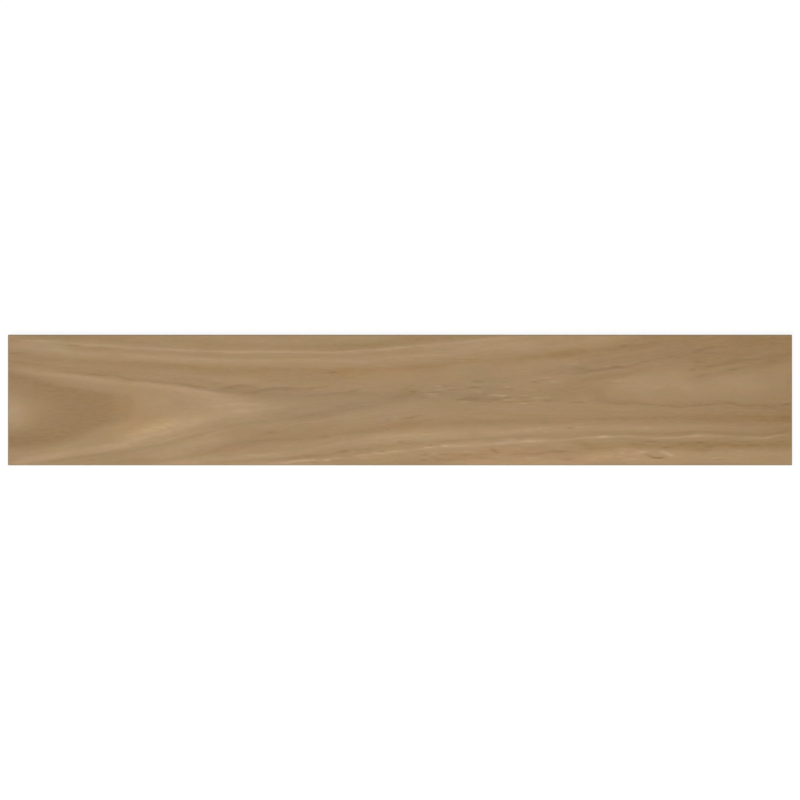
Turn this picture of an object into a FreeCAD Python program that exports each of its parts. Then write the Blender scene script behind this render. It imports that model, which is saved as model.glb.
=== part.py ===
import FreeCAD, Part
import os
import Sketcher

# Wood look porcelain plank tile: one pressed, fired and ground piece, lying face up.
# Millimetres. +X runs along the plank, +Y across it, +Z up out of the printed face.
# The origin is the middle of the back, on the plane that the ribs stand on.

# Driving dimensions: alias, value, what it is
SIZES = [
    ("tile_length", 1200.0, "long side of the plank"),
    ("tile_width", 200.0, "short side of the plank"),
    ("tile_thickness", 9.0, "rib tops up to the printed face"),
    ("face_bevel", 1.0, "leg of the ground bevel round the printed face"),
    ("back_bevel", 0.6, "leg of the broken edge round the back"),
    ("recess_side", 33.5, "mouth of one square recess in the back"),
    ("recess_clip", 4.0, "leg of a clipped corner of a recess mouth"),
    ("recess_depth", 0.8, "rib tops up to a recess floor"),
    ("recess_draft", 30.0, "slope of the recess walls, degrees from upright"),
    ("rib_width", 3.5, "land of a rib between two recess mouths"),
    ("plain_border", 8.0, "least plain land between an edge and the recesses"),
]

NODE = "porcelain_plank_tile"
PITCH = "(Sizes.recess_side + Sizes.rib_width)"
NEAR = 1e-6


def fitting_count(side):
    """Expression for how many recesses fit along one side of the plank."""
    return f"floor((Sizes.{side} - 2 * Sizes.plain_border + Sizes.rib_width) / {PITCH})"


def half_field(side):
    """Expression for half the length of the recess field along one side."""
    return f"({fitting_count(side)} * {PITCH} - Sizes.rib_width) / 2"


def make_sheet(doc):
    """The sheet of driving dimensions, each with an alias."""
    sheet = doc.addObject("Spreadsheet::Sheet", "Sizes")
    for row, (alias, value, note) in enumerate(SIZES, start=1):
        sheet.set(f"A{row}", alias)
        sheet.set(f"B{row}", str(value))
        sheet.set(f"C{row}", note)
        sheet.setAlias(f"B{row}", alias)
    doc.recompute()
    return sheet


def closed_sketch(body, name, points):
    """A sketch of straight lines through the points, on the plane of the rib tops."""
    sketch = body.newObject("Sketcher::SketchObject", name)
    plane = next(f for f in body.Origin.OriginFeatures if f.Role == "XY_Plane")
    sketch.AttachmentSupport = (plane, "")
    sketch.MapMode = "FlatFace"
    corners = [FreeCAD.Vector(x, y, 0) for x, y in points]
    for start, end in zip(corners, corners[1:] + corners[:1]):
        sketch.addGeometry(Part.LineSegment(start, end))
    for i in range(len(corners)):
        following = (i + 1) % len(corners)
        sketch.addConstraint(Sketcher.Constraint("Coincident", i, 2, following, 1))
    return sketch


def dimension(sketch, name, way, first, second, value, expression):
    """A distance between two of the sketch's points, bound to the sheet."""
    number = sketch.addConstraint(Sketcher.Constraint(way, *first, *second, value))
    sketch.renameConstraint(number, name)
    sketch.setExpression(f"Constraints.{name}", expression)


def sketch_outline(body, sheet):
    """The plank's outline, centred on the origin."""
    x, y = sheet.tile_length / 2, sheet.tile_width / 2
    sketch = closed_sketch(body, "Outline", [(-x, -y), (x, -y), (x, y), (-x, y)])
    for line, way in enumerate(("Horizontal", "Vertical", "Horizontal", "Vertical")):
        sketch.addConstraint(Sketcher.Constraint(way, line))
    sketch.addConstraint(Sketcher.Constraint("Symmetric", 0, 1, 2, 1, -1, 1))
    dimension(sketch, "Length", "DistanceX", (0, 1), (0, 2), 2 * x, "Sizes.tile_length")
    dimension(sketch, "Width", "DistanceY", (1, 1), (1, 2), 2 * y, "Sizes.tile_width")
    return sketch


def sketch_recess(body, sheet):
    """The mouth of the first recess: a square with clipped corners, in the field's corner."""
    side, clip = sheet.recess_side, sheet.recess_clip
    left, low = -sheet.tile_length / 2 + side, -sheet.tile_width / 2 + side
    right, high = left + side, low + side
    sketch = closed_sketch(
        body,
        "RecessMouth",
        [
            (left + clip, low),
            (right - clip, low),
            (right, low + clip),
            (right, high - clip),
            (right - clip, high),
            (left + clip, high),
            (left, high - clip),
            (left, low + clip),
        ],
    )
    # Even lines are the square's sides, and odd lines its clipped corners.
    for line, way in ((0, "Horizontal"), (2, "Vertical"), (4, "Horizontal"), (6, "Vertical")):
        sketch.addConstraint(Sketcher.Constraint(way, line))
    for line, from_x, from_y in ((1, 1, 1), (3, 2, 1), (5, 2, 2), (7, 1, 2)):
        for way, start in (("DistanceX", from_x), ("DistanceY", from_y)):
            ends = (line, start), (line, 3 - start)
            dimension(sketch, f"Clip{line}{way[-1]}", way, *ends, clip, "Sizes.recess_clip")
    dimension(sketch, "SideX", "DistanceX", (6, 1), (2, 1), side, "Sizes.recess_side")
    dimension(sketch, "SideY", "DistanceY", (0, 1), (4, 1), side, "Sizes.recess_side")
    origin = (-1, 1)
    dimension(sketch, "FieldX", "DistanceX", (6, 1), origin, -left, half_field("tile_length"))
    dimension(sketch, "FieldY", "DistanceY", (0, 1), origin, -low, half_field("tile_width"))
    return sketch


def level_edges(shape, height):
    """Names of the edges that lie level at one height."""
    found = []
    for number, edge in enumerate(shape.Edges, start=1):
        box = edge.BoundBox
        if abs(box.ZMin - height) < NEAR and abs(box.ZMax - height) < NEAR:
            found.append(f"Edge{number}")
    return found


def add_bevel(body, name, height, size):
    """A 45 degree bevel on the plank's edges at one height."""
    base = body.Tip
    bevel = body.newObject("PartDesign::Chamfer", name)
    bevel.Base = (base, level_edges(base.Shape, height))
    bevel.setExpression("Size", size)
    body.Document.recompute()


def make_plank(doc, sheet):
    """The whole tile: the slab, its ground bevels and its keyed back."""
    body = doc.addObject("PartDesign::Body", NODE)
    body.Label = NODE

    slab = body.newObject("PartDesign::Pad", "Slab")
    slab.Profile = sketch_outline(body, sheet)
    slab.setExpression("Length", "Sizes.tile_thickness")
    doc.recompute()

    add_bevel(body, "FaceBevel", sheet.tile_thickness, "Sizes.face_bevel")
    add_bevel(body, "BackBevel", 0.0, "Sizes.back_bevel")

    # The press punch leaves shallow recesses with sloping walls. The adhesive
    # keys into them, and the ribs between them carry the plank.
    mouth = sketch_recess(body, sheet)
    recess = body.newObject("PartDesign::Pocket", "Recess")
    recess.Profile = mouth
    recess.Reversed = True
    recess.setExpression("Length", "Sizes.recess_depth")
    recess.setExpression("TaperAngle", "-Sizes.recess_draft")
    doc.recompute()

    rows = []
    for axis, side in (("H_Axis", "tile_length"), ("V_Axis", "tile_width")):
        row = body.newObject("PartDesign::LinearPattern", f"RecessRow{axis[0]}")
        row.Direction = (mouth, [axis])
        row.Mode = "Spacing"
        row.setExpression("Offset", PITCH)
        row.setExpression("Occurrences", fitting_count(side))
        rows.append(row)
    grid = body.newObject("PartDesign::MultiTransform", "RecessGrid")
    grid.Originals = [recess]
    grid.Refine = False
    grid.Transformations = rows
    body.Tip = grid
    doc.recompute()
    return body


def checked_shape(doc, body):
    """The tile's shape, once no feature has failed and it is one valid solid."""
    failed = [o.Name for o in doc.Objects if {"Invalid", "Error"} & set(o.State)]
    shape = body.Shape
    if failed or shape.isNull() or not shape.isValid() or len(shape.Solids) != 1:
        raise SystemExit(f"the tile isn't one valid solid; failed features: {failed}")
    return shape


def main():
    doc = FreeCAD.newDocument("plank_tile")
    sheet = make_sheet(doc)
    body = make_plank(doc, sheet)
    shape = checked_shape(doc, body)
    os.makedirs("parts", exist_ok=True)
    shape.exportStep(f"parts/{NODE}.step")
    box = shape.BoundBox
    print(NODE, round(box.XLength, 3), round(box.YLength, 3), round(box.ZLength, 3))
    print("volume", round(shape.Volume, 1), "faces", len(shape.Faces))


main()
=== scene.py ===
import math

import bpy
import numpy as np
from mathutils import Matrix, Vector, noise


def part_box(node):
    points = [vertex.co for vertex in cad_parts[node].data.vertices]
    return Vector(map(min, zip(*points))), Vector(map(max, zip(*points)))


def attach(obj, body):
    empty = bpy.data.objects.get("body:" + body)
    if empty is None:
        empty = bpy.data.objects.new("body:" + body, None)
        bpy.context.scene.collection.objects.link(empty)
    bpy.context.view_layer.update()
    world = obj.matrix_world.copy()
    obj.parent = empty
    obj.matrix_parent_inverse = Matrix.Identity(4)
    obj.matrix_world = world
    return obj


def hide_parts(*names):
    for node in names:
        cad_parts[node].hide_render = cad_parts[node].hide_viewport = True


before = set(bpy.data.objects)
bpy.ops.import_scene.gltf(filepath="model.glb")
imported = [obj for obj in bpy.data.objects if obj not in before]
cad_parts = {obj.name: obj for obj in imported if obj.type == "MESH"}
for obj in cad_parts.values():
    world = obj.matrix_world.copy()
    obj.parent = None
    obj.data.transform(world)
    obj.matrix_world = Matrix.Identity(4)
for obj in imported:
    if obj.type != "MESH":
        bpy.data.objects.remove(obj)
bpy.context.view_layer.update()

print("frame loaded:", sorted(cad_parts))


def deselectAll():
    if bpy.context.mode != "OBJECT":
        bpy.ops.object.mode_set(mode="OBJECT")
    bpy.ops.object.select_all(action="DESELECT")


def selectOnly(thing):
    deselectAll()
    thing.select_set(True)
    bpy.context.view_layer.objects.active = thing


def selectOpenEdges():
    bpy.ops.mesh.select_mode(type="EDGE")
    bpy.ops.mesh.select_all(action="DESELECT")
    bpy.ops.mesh.select_non_manifold(
        use_wire=False, use_boundary=True, use_multi_face=False, use_non_contiguous=False, use_verts=False
    )


# The plank's shape, in mm
plank = {
    "node": "porcelain_plank_tile",
    "faceQuads": (320, 250),  # along the grain, 3.7 mm each, and across it, 0.8 mm each
    # ground edge from the face down to the bed: inset from the plank's outline, height
    "edge": [
        (1.2, 9.0), (0.94, 8.93), (0.1, 8.1), (0.03, 7.93), (0, 7.7),
        (0, 0.8), (0.08, 0.5), (0.5, 0.08), (0.8, 0),
    ],
    "recess": 33.5,  # mouth of one pressed recess
    "pitch": 37.0,
    "rows": (32, 5),
    "corner": 4.0,
    "cornerSides": 2,  # short sides that a clipped corner has
    "recessWall": [(0.1, 0.04), (0.34, 0.64), (0.25, 0.12)],  # run in and rise of each step to the floor
    "facesUp": 0.99,  # least upward part of a printed face's normal
    "slack": 0.01,  # heights this near to each other are the same
    "smoothUnder": 32,  # degrees
}


# The printed face as a fine grid, and the ground edge extruded down from its rim
def makeSlab(length, width):
    inset, height = plank["edge"][0]
    alongQuads, acrossQuads = plank["faceQuads"]
    deselectAll()
    bpy.ops.mesh.primitive_grid_add(
        x_subdivisions=alongQuads, y_subdivisions=acrossQuads, size=1, location=(0, 0, height / 1000)
    )
    slab = bpy.context.object
    slab.name = "porcelain_plank"
    slab.scale = ((length - 2 * inset) / 1000, (width - 2 * inset) / 1000, 1)
    bpy.ops.object.transform_apply(location=True, rotation=True, scale=True)
    bpy.ops.object.mode_set(mode="EDIT")
    selectOpenEdges()
    for nextInset, nextHeight in plank["edge"][1:]:
        drop = (0, 0, (nextHeight - height) / 1000)
        bpy.ops.mesh.extrude_edges_move(TRANSFORM_OT_translate={"value": drop})
        growth = [(side - 2 * nextInset) / (side - 2 * inset) for side in (length, width)]
        bpy.ops.transform.resize(value=(*growth, 1), center_override=(0, 0, 0))
        inset, height = nextInset, nextHeight
    bpy.ops.object.mode_set(mode="OBJECT")
    return slab


def makeRecesses():  # one pressed recess, then rows of it over the back
    along, across = plank["rows"]
    pitch = plank["pitch"] / 1000
    deselectAll()
    bpy.ops.mesh.primitive_plane_add(
        size=plank["recess"] / 1000, location=(-(along - 1) / 2 * pitch, -(across - 1) / 2 * pitch, 0)
    )
    recesses = bpy.context.object
    recesses.name = "recesses"
    bpy.ops.object.transform_apply(location=True, rotation=True, scale=True)
    bpy.ops.object.mode_set(mode="EDIT")
    bpy.ops.mesh.select_mode(type="VERT")
    bpy.ops.mesh.select_all(action="SELECT")
    bpy.ops.mesh.bevel(offset=plank["corner"] / 1000, segments=plank["cornerSides"], affect="VERTICES")
    bpy.ops.mesh.select_mode(type="FACE")
    bpy.ops.mesh.select_all(action="SELECT")
    for run, rise in plank["recessWall"]:
        bpy.ops.mesh.inset(thickness=run / 1000, depth=rise / 1000)
    bpy.ops.object.mode_set(mode="OBJECT")
    for count, way in ((along, (pitch, 0, 0)), (across, (0, pitch, 0))):
        row = recesses.modifiers.new("row", "ARRAY")
        row.count = count
        row.use_relative_offset = False
        row.use_constant_offset = True
        row.constant_offset_displace = way
        bpy.ops.object.modifier_apply(modifier=row.name)
    return recesses


# Joins the recesses to the slab, and fills the land between them
def closeBack(slab, recesses):
    selectOnly(slab)
    recesses.select_set(True)
    bpy.ops.object.join()
    bpy.ops.object.mode_set(mode="EDIT")
    selectOpenEdges()
    bpy.ops.mesh.mark_sharp()
    bpy.ops.mesh.fill(use_beauty=True)
    bpy.ops.mesh.select_all(action="SELECT")
    bpy.ops.mesh.normals_make_consistent(inside=False)
    bpy.ops.object.mode_set(mode="OBJECT")


# The printed grain, in mm on the face. A level is one step of 256 lighter or darker than the middle
# tone, and hue leans to warm above 0 and to cool below it.
grain = {
    # hue, reach above and below the line, points (x, y, level)
    "streaks": {
        # strip along the far edge
        "far strip": (0, 11, 8, [
            (-600, 98, 0), (-560, 99, -5), (-450, 96, -5), (-300, 92, -3), (-180, 90, -2), (-120, 86, -4),
            (-50, 86, -6), (0, 91, -7), (50, 95, -7), (110, 101, -7), (180, 106, 0)]),
        "far strip shade": (0, 4, 5, [
            (-560, 100, 0), (-400, 88, -4), (-300, 83, -5), (-120, 83, -4), (-40, 83, -4), (0, 86, 0)]),
        "thin pale far line": (-1, 1.8, 2.3, [
            (-590, 92, 0), (-560, 91, 9), (-510, 88.5, 7), (-480, 85, 7), (-440, 82.5, 9),
            (-395, 79.5, 9), (-345, 77, 10), (-300, 75.5, 9), (-250, 74, 13), (-200, 74, 12),
            (-150, 73.5, 10), (-100, 73, 10), (-65, 73, 8), (-50, 71, 0)]),
        "thin pale far line, rising": (-0.3, 1.5, 3, [
            (-95, 75, 0), (-60, 76, 7), (-25, 78, 10), (0, 80.5, 11), (40, 84.5, 6), (80, 88, 7),
            (120, 92, 9), (155, 95, 7), (185, 99, 0)]),
        "shade by the far line": (-0.4, 1.2, 2.5, [
            (-520, 84, 0), (-495, 83, -8), (-484, 81, -4), (-455, 79.5, -3), (-430, 78.5, 0)]),
        "pale at the far left": (-1, 6, 7, [(-600, 84, 2), (-560, 82, 6), (-520, 79, 5), (-490, 77, 0)]),
        "dark at the far left": (-0.5, 4, 5, [
            (-602, 72, -10), (-580, 70, -8), (-560, 66, -5), (-535, 64, -4), (-500, 63, 0)]),
        "pale band": (0.2, 4.5, 5.5, [
            (-560, 76, 0), (-500, 72, 6), (-440, 69, 6), (-380, 66, 9), (-340, 63, 8), (-290, 61, 8),
            (-220, 60, 7), (-110, 61, 6), (-60, 62, 7), (0, 66, 6), (60, 69, 4), (120, 72, 3)]),
        "pale band, rising": (-0.4, 7, 11, [
            (0, 74, 0), (40, 78, 3), (100, 82, 5), (160, 84, 6), (220, 91, 3), (290, 96, 4), (340, 98, 1),
            (360, 99, 0)]),
        "yellow far corner": (1.2, 8, 10, [(270, 95, 0), (305, 95, 3), (335, 97, 3), (360, 99, 0)]),
        # brown band over the cathedral, and its runs to the right
        "brown band left": (1.2, 4.5, 8, [
            (-590, 61, -2), (-520, 61, -3), (-450, 57, -5), (-400, 55, -6), (-340, 52, -5),
            (-300, 48, -4)]),
        "brown band middle": (1.4, 4.5, 9, [
            (-330, 50, 0), (-300, 49, -6), (-240, 46, -6), (-180, 46, -6), (-60, 46, -6), (0, 48, -4),
            (50, 50, -4), (90, 50, -4)]),
        "flecks in the brown": (0.3, 1.5, 1.5, [
            (-335, 50, 0), (-325, 51, -5), (-315, 50, -5), (-305, 49.5, 0)]),
        "rust wash": (1.6, 7, 7, [
            (-130, 42, 0), (-90, 43, -1), (-40, 42, -1), (0, 43, -2), (50, 44, -1), (80, 46, 0)]),
        "amber line": (1.5, 1.2, 1.2, [(-58, 56, 0), (-40, 54.5, 2), (-22, 52.5, 4), (-8, 53, 0)]),
        "brown run rising": (1.6, 4, 5.5, [
            (0, 55, -2), (30, 53, -4), (70, 56, -4), (110, 58, -4), (160, 62, -5), (200, 66, -6),
            (240, 72, -8), (270, 76, -8), (300, 77, -6), (345, 81, -6), (380, 85, -3), (410, 90, 0)]),
        "red line upper": (1.2, 1, 2, [
            (45, 63, 0), (60, 62.5, -3), (90, 62.5, -6), (120, 62.5, -5), (135, 63, 0)]),
        "red line lower": (1.2, 0.9, 1.3, [(75, 56.5, 0), (95, 57, -4), (125, 57.5, -2), (140, 59, 0)]),
        "yellow dash": (1, 0.9, 0.9, [(82, 59.5, 0), (95, 59.5, 7), (110, 60, 0)]),
        "shade under the run": (0.4, 4.5, 8, [(220, 65, -2), (255, 69, -8), (300, 68, -6), (340, 72, 0)]),
        "pale under the brown": (0.2, 4.5, 6, [
            (-330, 38, 0), (-290, 33, 2), (-230, 31, 2), (-170, 31, 0), (-100, 31, -1), (-50, 27, 0),
            (20, 31, 1), (80, 40, 0)]),
        # dark line over the cathedral
        "grey run left": (0, 3, 4.5, [
            (-600, 61, -3), (-560, 54, -3), (-520, 49, -6), (-480, 45, -5), (-440, 42, -4),
            (-400, 39, 0)]),
        "dark line first": (-0.3, 1.9, 2.4, [
            (-540, 44, 0), (-505, 42, -6), (-480, 40, -7), (-455, 38.5, -11), (-435, 36.5, -7),
            (-420, 33, -11), (-400, 31, -7), (-375, 28, -7), (-345, 25.5, -9), (-325, 22.5, -12),
            (-305, 19.5, -12), (-285, 17.5, -8)]),
        "dark lens": (-1.2, 3.5, 3, [
            (-300, 17, 0), (-275, 17, -7), (-245, 17.5, -8), (-225, 17, -4), (-208, 16, 0)]),
        "grey over the dark line": (-0.5, 4, 5, [
            (-420, 37, 0), (-380, 33, -2), (-345, 32, -4), (-310, 30, -4), (-285, 26, -6),
            (-260, 26, 0)]),
        "dark line second": (-1.5, 1.8, 2.3, [
            (-285, 19, 0), (-262, 20.5, -7), (-247, 22.5, -10), (-228, 21.5, -7), (-212, 17, -6),
            (-195, 19, -9), (-180, 19, -11), (-155, 18.5, -8), (-135, 18, -6), (-118, 19.5, -6),
            (-100, 22, 0)]),
        "dark line second, lower": (-1.2, 2.1, 3, [
            (-300, 15, 0), (-265, 13, -5), (-240, 12.5, -7), (-222, 13, -9), (-205, 15, -8),
            (-180, 16.5, -7), (-150, 15, -5), (-120, 14, 0)]),
        "slate under the dark line": (-1.3, 6, 7, [
            (-290, 10, 0), (-240, 9, -4), (-200, 8, -6), (-150, 8, -5), (-100, 9, -5), (-60, 8, -5),
            (-20, 7, -4), (20, 4, -4)]),
        "dark line third": (-0.4, 1, 1.3, [
            (-158, 7, 0), (-140, 6.5, -4), (-115, 8, -3), (-95, 10, -6), (-80, 12.5, -9), (-66, 15, -8),
            (-55, 17, 0)]),
        # arcs of the cathedral
        "upper pale arc": (0, 4.2, 6.5, [
            (-600, 50, 6), (-575, 47, 11), (-550, 41.5, 11), (-520, 38, 10), (-490, 34.5, 9),
            (-455, 30, 9), (-425, 26.5, 6), (-395, 24, 9), (-365, 21.5, 8), (-335, 17, 9), (-305, 11, 8),
            (-270, 4, 5), (-240, -3, 2), (-220, -6, 0)]),
        "lower pale arc": (0.5, 6.5, 5.5, [
            (-600, -98, 1), (-575, -93, 10), (-545, -87, 11), (-520, -83, 11), (-490, -78.5, 9),
            (-460, -73.5, 10), (-430, -69, 12), (-405, -62, 11), (-380, -54, 9), (-345, -44, 8),
            (-315, -35, 7), (-285, -27, 6), (-255, -20, 2), (-225, -18, 0)]),
        "bright edge of the lower arc": (0, 1.6, 2, [
            (-600, -96, 2), (-572, -95, 4), (-545, -92, 3), (-500, -83, 2), (-470, -79, 3),
            (-440, -74.5, 4), (-415, -69.5, 3), (-390, -62, 0)]),
        "pale tip upper": (0.3, 2, 2, [
            (-300, -9, 0), (-268, -8, 2), (-240, -6, 6), (-215, -7, 6), (-190, -9, 0)]),
        "pale tip lower": (0.3, 2, 2.5, [
            (-265, -18, 0), (-240, -16.5, 6), (-215, -13.5, 4), (-185, -12.5, 3), (-162, -13, 0)]),
        "yellow streak": (2.5, 11, 6, [
            (-450, -55, 0), (-425, -56, 6), (-402, -50, 11), (-380, -43, 13), (-355, -36, 11),
            (-330, -31, 7), (-300, -26, 3), (-280, -22, 0)]),
        "yellow core": (0.8, 4, 3, [
            (-405, -54, 0), (-385, -48, 4), (-365, -43, 3), (-345, -36, 3), (-330, -33, 0)]),
        "inner edge of the lower arc": (1.5, 6, 5, [
            (-510, -60, 0), (-480, -49, 2), (-450, -43, 2), (-420, -38, 3), (-390, -28, 2)]),
        "middle of the lower arc": (0.2, 3, 3, [
            (-560, -76, 0), (-530, -75, 2), (-500, -68, 2), (-470, -61, 2), (-440, -55, 2)]),
        # under the lower arc
        "slate line": (-1.4, 3.8, 3, [
            (-540, -97, 0), (-500, -90, -2), (-460, -86, -4), (-425, -80.5, -4), (-395, -74, -5),
            (-365, -68, -6), (-345, -64, -5), (-325, -58, -3), (-300, -52, -4), (-280, -45, -2),
            (-250, -38, -4), (-215, -34, -5), (-190, -33, -2), (-160, -35, 0)]),
        "slate line, sharp": (-0.6, 1.1, 1.1, [
            (-345, -60, 0), (-325, -56, -3), (-305, -53, -3), (-290, -50, 0)]),
        "slate field": (-1.2, 6.5, 7.5, [
            (-520, -98, 0), (-470, -93, 0), (-430, -87, -2), (-390, -82, -3), (-350, -72, 0)]),
        "pale under the slate": (-0.2, 8, 8.5, [
            (-370, -77, 0), (-340, -71, 5), (-315, -67, 6), (-290, -61, 6), (-260, -54, 3),
            (-240, -50, 0)]),
        "umber run low": (0.2, 4, 6, [
            (-470, -100, 0), (-400, -93, -5), (-360, -90, -5), (-320, -85, -4), (-280, -76, -2),
            (-240, -67, -6), (-200, -62, -6), (-150, -58, -7), (-100, -53, -5), (-50, -47, -5),
            (0, -41, -3), (40, -36, -3)]),
        "umber run high": (0.6, 7, 6, [
            (-250, -55, 0), (-200, -53, -4), (-150, -49, -5), (-100, -45, -5), (-30, -42, -5),
            (20, -38, -5), (60, -35, -3)]),
        "rosy near edge left": (2, 3.5, 8, [
            (-390, -103, 0), (-350, -98, 7), (-300, -97, 6), (-250, -101, 6), (-200, -100, 6),
            (-150, -100, 7), (-60, -103, 4), (0, -101, 6)]),
        "pale low left": (0.4, 5, 6, [
            (-360, -95, 0), (-320, -93, 2), (-270, -90, 7), (-235, -87, 6), (-200, -84, 5),
            (-170, -81, 3), (-140, -76, 4), (-100, -69, 5), (-60, -63, 6), (-20, -57, 8), (20, -54, 9),
            (60, -51, 8), (110, -49, 3)]),
        "grey low line": (-0.3, 2.7, 3, [
            (-260, -96, 0), (-225, -92, -4), (-180, -90, -6), (-150, -86.5, -7), (-115, -84, -6),
            (-85, -78, -5), (-55, -74, -4), (-20, -71, -5), (10, -67, -4), (45, -65.5, -4), (80, -63, -6),
            (105, -60.5, -7), (140, -59, -7), (170, -56.5, -7), (200, -56, -5), (240, -55.5, -3),
            (275, -53, -2), (310, -50.5, -5), (350, -50, -4), (385, -51.5, -5), (430, -50, -7),
            (480, -49.5, -6), (520, -51, -6), (560, -52, -6), (590, -49, -7), (600, -50, -8)]),
        "bright near edge": (0.7, 1.5, 1.6, [
            (-200, -96, 0), (-175, -95.5, 12), (-155, -93.5, 16), (-140, -93, 12), (-122, -93, 8),
            (-108, -92, 12), (-98, -92, 0)]),
        "low pale wisp": (0, 1.8, 2.4, [
            (-92, -92, 2), (-75, -87.5, 6), (-55, -85, 6), (-40, -81.5, 5), (-20, -80.5, 7), (5, -79, 4),
            (25, -75.5, 6), (45, -73, 6), (58, -71, 5), (64, -70, 0)]),
        # right half, upper
        "grey band rising": (-1.2, 7.5, 7, [
            (-235, -32, 0), (-200, -27, -4), (-160, -27, -5), (-125, -23, -6), (-95, -14, -6),
            (-55, -9, -5), (-15, -2, -4), (20, 3, -2)]),
        "pale line under the grey": (-0.2, 0.9, 1.1, [
            (-170, -36.5, 0), (-150, -34.5, 6), (-125, -33.5, 6), (-105, -34, 0)]),
        "ground of the flecks": (-0.8, 13, 10, [
            (-30, 9, 0), (10, 8, -4), (60, 8, -5), (110, 7, -5), (150, 5, -5), (175, 8, -4), (200, 8, -3),
            (240, 6, -4), (280, 7, -4)]),
        "slate streak": (-1.6, 3.4, 3.2, [
            (95, 27, 0), (118, 28, -4), (145, 28.5, -5), (168, 27.5, -5), (185, 27, 0)]),
        "slate wash": (-1, 8, 10, [
            (90, 40, -2), (130, 39, -2), (180, 37, -1), (240, 43, -4), (290, 52, -4), (340, 59, -3),
            (390, 63, -3), (430, 69, -4), (470, 78, 0)]),
        "dark patch": (0, 12, 12, [
            (225, 21, -2), (255, 21, -4), (285, 15, -5), (305, 8, -5), (325, 4, 0)]),
        "first rise": (0.1, 2.2, 3, [
            (250, 38, 0), (268, 40.5, -6), (290, 44, -9), (312, 47, -9), (330, 49.5, -10), (350, 52, -4),
            (370, 58, -6), (385, 60.5, -4), (420, 67, -3), (440, 67.5, -3), (455, 75, -5), (475, 80, -9),
            (492, 81.5, -5), (520, 85, 0)]),
        "second rise": (-0.1, 2.5, 3.5, [
            (440, 56, 0), (460, 50, -5), (480, 52.5, -8), (500, 56, -7), (520, 60, -7), (545, 62.5, -6),
            (570, 68, -6), (600, 70.5, -9)]),
        "third rise": (0, 3.5, 4.3, [
            (445, 33, 0), (460, 37, -7), (480, 39.5, -5), (505, 45, -5), (530, 51, -2), (560, 56, -3),
            (585, 61, -5), (600, 63, -5)]),
        "fourth rise": (0.2, 3.4, 4.6, [
            (240, 31, 0), (290, 34, -4), (320, 37, -6), (360, 43, -3), (380, 49, -2), (400, 52, 0)]),
        "grey under the rises": (-0.4, 8, 8.5, [
            (430, 59, 0), (470, 57, -2), (510, 65, -3), (560, 71, -4), (600, 77, -5)]),
        "brown far right": (1.2, 30, 13, [
            (345, 112, 0), (375, 107, -7), (410, 103, -7), (450, 98, -7), (500, 97, -8), (540, 96, -10),
            (570, 95, -12), (602, 95, -12)]),
        "deep far right": (0.8, 12, 9.5, [(480, 80, 0), (520, 84, -4), (560, 83, -4), (602, 83, -4)]),
        "pale patch left": (-0.1, 12, 15, [
            (310, 22, 0), (340, 25, 5), (370, 26, 7), (400, 30, 6), (425, 28, 6), (442, 23, 3),
            (455, 20, 2)]),
        "pale patch right": (-0.7, 15, 18, [
            (440, 18, 2), (480, 23, 5), (520, 25, 6), (550, 25, 5), (580, 28, 2), (600, 33, -2)]),
        "wavy dark line": (0, 1.4, 2, [
            (285, -1, 0), (305, -1.5, -2), (325, -4.5, -5), (345, -5.5, -6), (362, -4, -4),
            (380, -6.5, -5), (400, -8, -5), (416, -9, -8), (427, -10.5, -7), (440, -9, -4), (455, -8, -9),
            (467, -8, -8), (480, -6, -6), (497, -5, -4), (510, -5.5, -7), (522, -8.5, -10), (535, -8, -4),
            (545, -7, -6), (556, -9, -7), (570, -10, -5), (580, -8.5, -6), (590, -6.5, -9),
            (602, -7, -7)]),
        "shade on the wavy line": (-0.1, 4.6, 5, [
            (290, 1, -1), (310, 0, -5), (350, -4, -4), (400, -8, -4), (440, -6, -4), (480, -5, -5),
            (530, -9, -3), (600, -8, -4)]),
        "grey under the wavy line": (0.1, 5, 7, [
            (320, -16, 0), (380, -16, -2), (440, -17, -3), (500, -18, -3), (560, -18, -2),
            (600, -15, -6)]),
        # right half, lower
        "brown band right": (2, 6.5, 5.5, [
            (50, -34, 0), (90, -34, -7), (140, -33, -6), (200, -33, -5), (250, -30.5, -5), (300, -29, -6),
            (360, -28, -6), (420, -28, -8), (480, -29, -9), (530, -28, -9), (570, -29, -10),
            (602, -28, -15)]),
        "pale band right": (0.9, 4.5, 6.3, [
            (90, -46, 2), (130, -48, 5), (170, -47, 7), (210, -44, 9), (255, -43, 6), (300, -42.5, 6),
            (350, -41.5, 6), (375, -41.5, 6), (420, -42, 3), (480, -42, 2), (540, -42, 3), (580, -41, 0),
            (602, -41.5, -4)]),
        "white line": (1.6, 1.6, 2, [
            (55, -71, 0), (64, -70, 19), (74, -70, 15), (90, -70, 11), (112, -69, 6), (130, -68, 8),
            (150, -66.5, 10), (166, -65, 8), (180, -64.5, 7), (195, -63, 13), (212, -63, 10),
            (240, -61.5, 8), (262, -60, 6), (278, -58, 9), (295, -57, 10), (312, -56, 15),
            (330, -55.5, 9), (348, -55, 12), (362, -56, 6), (378, -57.5, 5), (395, -58, 8),
            (420, -57.5, 10), (436, -56, 11), (455, -55, 13), (472, -55, 7), (492, -55, 8), (508, -56, 2),
            (525, -58, 7), (545, -58, 8), (565, -57, 12), (578, -54.5, 7), (592, -54, 5),
            (602, -54.5, 3)]),
        "pale over the white line": (0, 2.7, 3, [
            (150, -61, 0), (172, -62, 5), (195, -61.5, 4), (230, -60, 0)]),
        "olive under the white line": (2.3, 5, 6, [
            (180, -67, 0), (215, -66, 2), (250, -67, 0), (268, -65, -3), (284, -69.5, -7), (300, -70, -7),
            (330, -69, -6), (370, -68.5, -7), (400, -70.5, -7), (440, -69, -8), (480, -67.5, -10),
            (530, -68.5, -11), (570, -69, -11), (602, -66.5, -13)]),
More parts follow.
